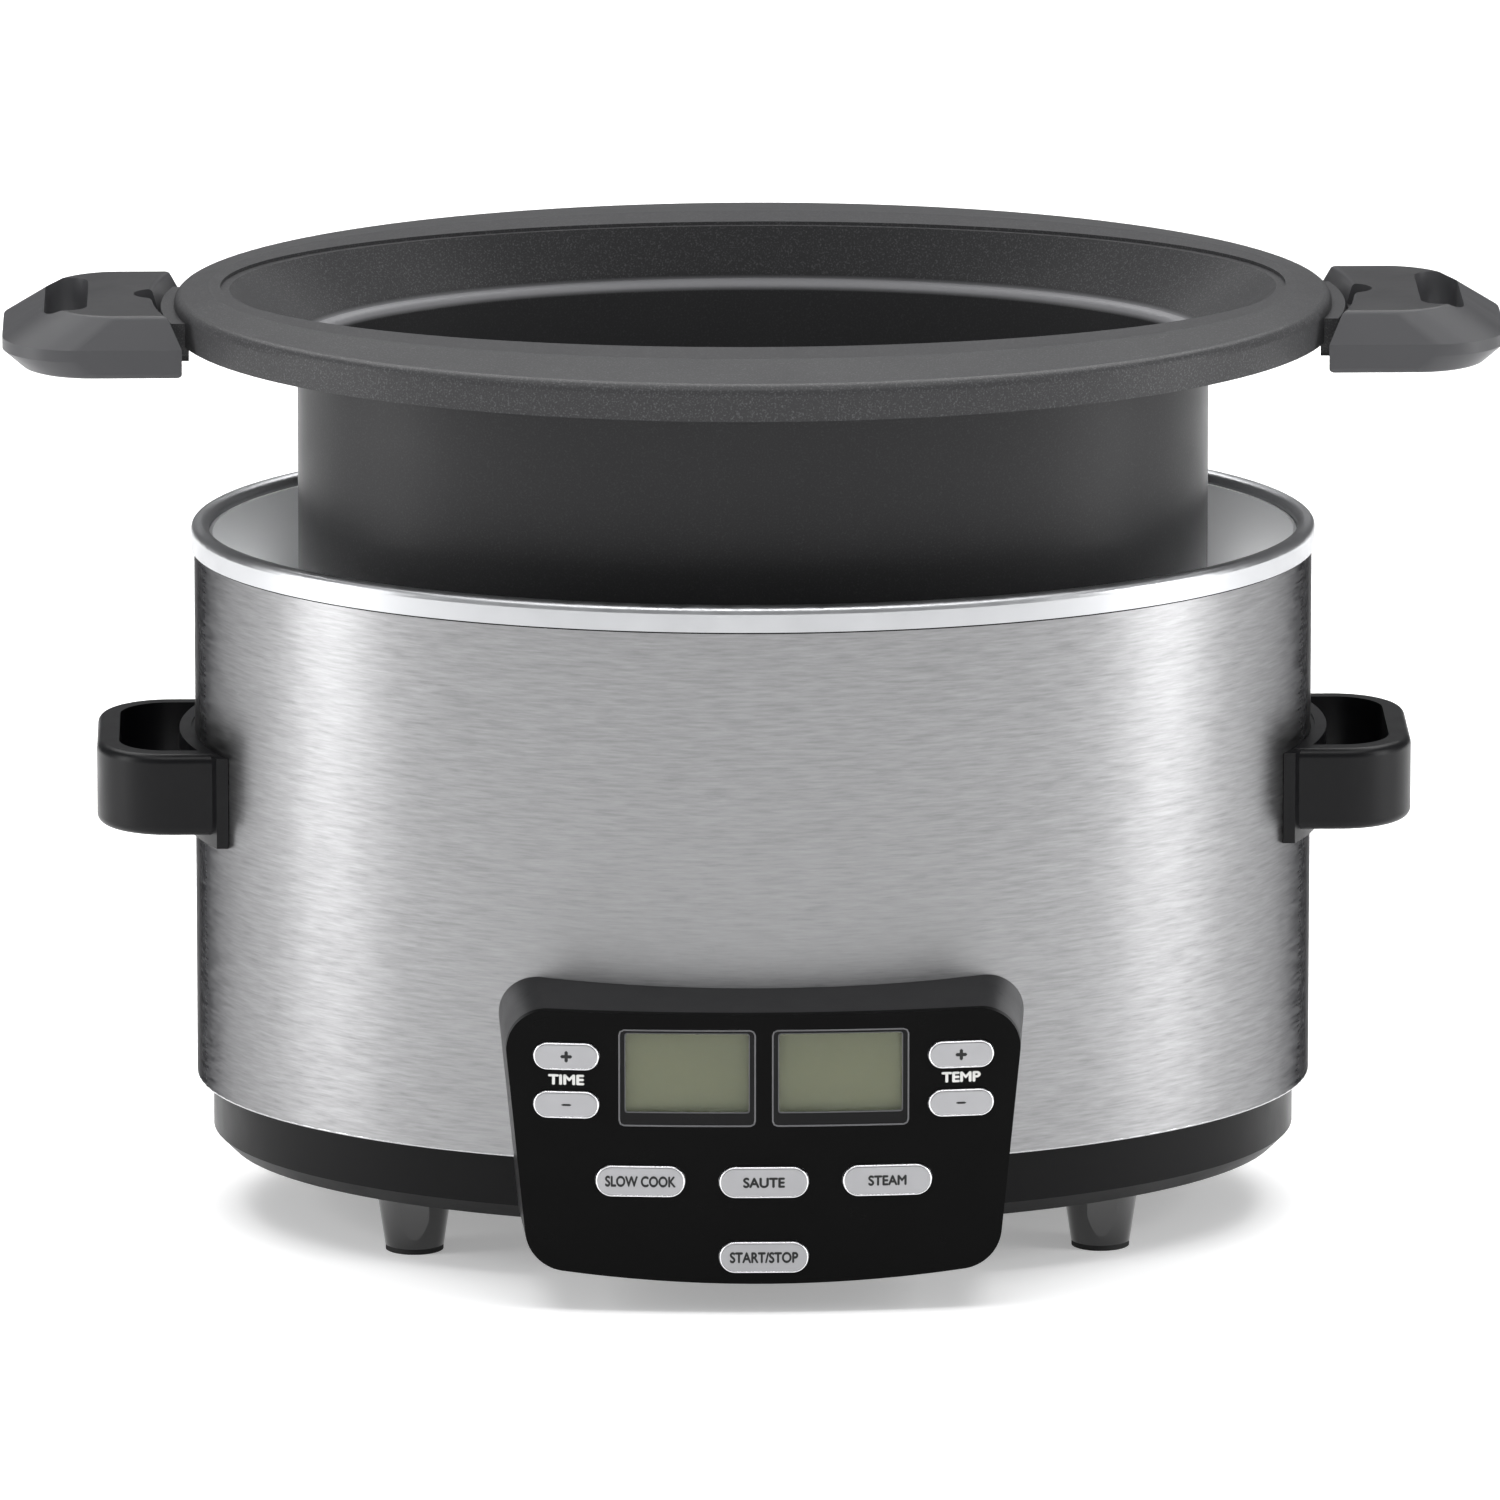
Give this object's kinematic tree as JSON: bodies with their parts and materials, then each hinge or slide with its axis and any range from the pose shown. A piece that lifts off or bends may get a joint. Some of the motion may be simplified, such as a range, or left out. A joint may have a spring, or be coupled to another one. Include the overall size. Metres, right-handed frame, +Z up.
{
  "type": "slow cooker",
  "caption": "Oval countertop slow cooker: steel-clad heating base with front control panel and side handles, and a lift-out cooking pot with flanged rim and end grips.",
  "frame": {"origin": "on the worktop under the middle of the whole object's footprint", "axes": "+X to the right as seen from the front, along the long side; +Y to the back, away from the control panel; +Z up"},
  "size_m": [0.4348, 0.2672, 0.2732],
  "materials": {
    "brushed_shell": "fine horizontal brushing",
    "gasket": "matt black",
    "polished_rim": "bright satin",
    "base_plastic": "fine satin",
    "gloss_foot": "gloss",
    "foot_rubber": "matt",
    "zinc_screws": "zinc plated",
    "gland_rubber": "matt",
    "liner_metal": "smooth light grey",
    "cast_plate": "turned casting",
    "bright_steel": "pressed sheet",
    "element_sheath": "heat-tinted sheath",
    "sensor_cap": "spun cap",
    "fuse_body": "ceramic sleeve",
    "circuit_board": "solder mask",
    "transformer_core": "varnished laminations",
    "relay_case": "moulded",
    "capacitor_can": "sleeved can",
    "terminal_plastic": "moulded",
    "handle_plastic": "satin",
    "casing_plastic": "satin",
    "gloss_panel": "piano gloss",
    "bezel_plastic": "gloss",
    "display_window": "clear",
    "display_module": "reflective liquid crystal",
    "switch_plastic": "moulded",
    "button_metal": "satin silver",
    "pot_coating": "dark non-stick coating",
    "grip_plastic": "satin dark grey"
  },
  "bodies": {
    "base": {"base_tray": "base_plastic", "board_screws": "zinc_screws", "bottom_cover": "base_plastic", "capacitor": "capacitor_can", "control_board": "circuit_board", "cord_gland": "gland_rubber", "display_bezel_left": "bezel_plastic", "display_bezel_right": "bezel_plastic", "display_module_left": "display_module", "display_module_right": "display_module", "display_window_left": "display_window", "display_window_right": "display_window", "foot_front_left": "gloss_foot", "foot_front_right": "gloss_foot", "foot_nuts": "zinc_screws", "foot_pads": "foot_rubber", "foot_rear_left": "gloss_foot", "foot_rear_right": "gloss_foot", "foot_screws": "zinc_screws", "handle_bracket_left": "bright_steel", "handle_bracket_right": "bright_steel", "handle_screws": "zinc_screws", "heat_shield": "bright_steel", "heater_liner": "liner_metal", "heater_plate": "cast_plate", "heating_element": "element_sheath", "liner_legs": "bright_steel", "outer_shell": "brushed_shell", "panel_casing": "casing_plastic", "panel_face": "gloss_panel", "panel_screws": "zinc_screws", "plate_supports": "bright_steel", "power_board": "circuit_board", "relay": "relay_case", "rim_gasket": "gasket", "rim_ring": "polished_rim", "sensor_spring": "bright_steel", "side_handle_left": "handle_plastic", "side_handle_right": "handle_plastic", "tact_switches": "switch_plastic", "terminal_block": "terminal_plastic", "thermal_fuse": "fuse_body", "thermal_sensor": "sensor_cap", "transformer": "transformer_core"},
    "pot": {"cooking_pot": "pot_coating", "pot_grip_left": "grip_plastic", "pot_grip_right": "grip_plastic", "grip_screws": "zinc_screws"},
    "button_saute": {"button_saute": "button_metal"},
    "button_slow_cook": {"button_slow_cook": "button_metal"},
    "button_start_stop": {"button_start_stop": "button_metal"},
    "button_steam": {"button_steam": "button_metal"},
    "button_temp_down": {"button_temp_down": "button_metal"},
    "button_temp_up": {"button_temp_up": "button_metal"},
    "button_time_down": {"button_time_down": "button_metal"},
    "button_time_up": {"button_time_up": "button_metal"}
  },
  "joints": [
    {"name": "pot_lift", "type": "slide", "parent": "base", "child": "pot", "axis": [0, 0, 1], "range_m": [-0.0638, 0.075]},
    {"name": "press_saute", "type": "slide", "parent": "base", "child": "button_saute", "axis": [0, 1, 0], "range_m": [0, 0.0008], "stiffness_N_per_m": 1500},
    {"name": "press_slow_cook", "type": "slide", "parent": "base", "child": "button_slow_cook", "axis": [0, 1, 0], "range_m": [0, 0.0008], "stiffness_N_per_m": 1500},
    {"name": "press_start_stop", "type": "slide", "parent": "base", "child": "button_start_stop", "axis": [0, 1, 0], "range_m": [0, 0.0008], "stiffness_N_per_m": 1500},
    {"name": "press_steam", "type": "slide", "parent": "base", "child": "button_steam", "axis": [0, 1, 0], "range_m": [0, 0.0008], "stiffness_N_per_m": 1500},
    {"name": "press_temp_down", "type": "slide", "parent": "base", "child": "button_temp_down", "axis": [0, 1, 0], "range_m": [0, 0.0008], "stiffness_N_per_m": 1500},
    {"name": "press_temp_up", "type": "slide", "parent": "base", "child": "button_temp_up", "axis": [0, 1, 0], "range_m": [0, 0.0008], "stiffness_N_per_m": 1500},
    {"name": "press_time_down", "type": "slide", "parent": "base", "child": "button_time_down", "axis": [0, 1, 0], "range_m": [0, 0.0008], "stiffness_N_per_m": 1500},
    {"name": "press_time_up", "type": "slide", "parent": "base", "child": "button_time_up", "axis": [0, 1, 0], "range_m": [0, 0.0008], "stiffness_N_per_m": 1500}
  ]
}
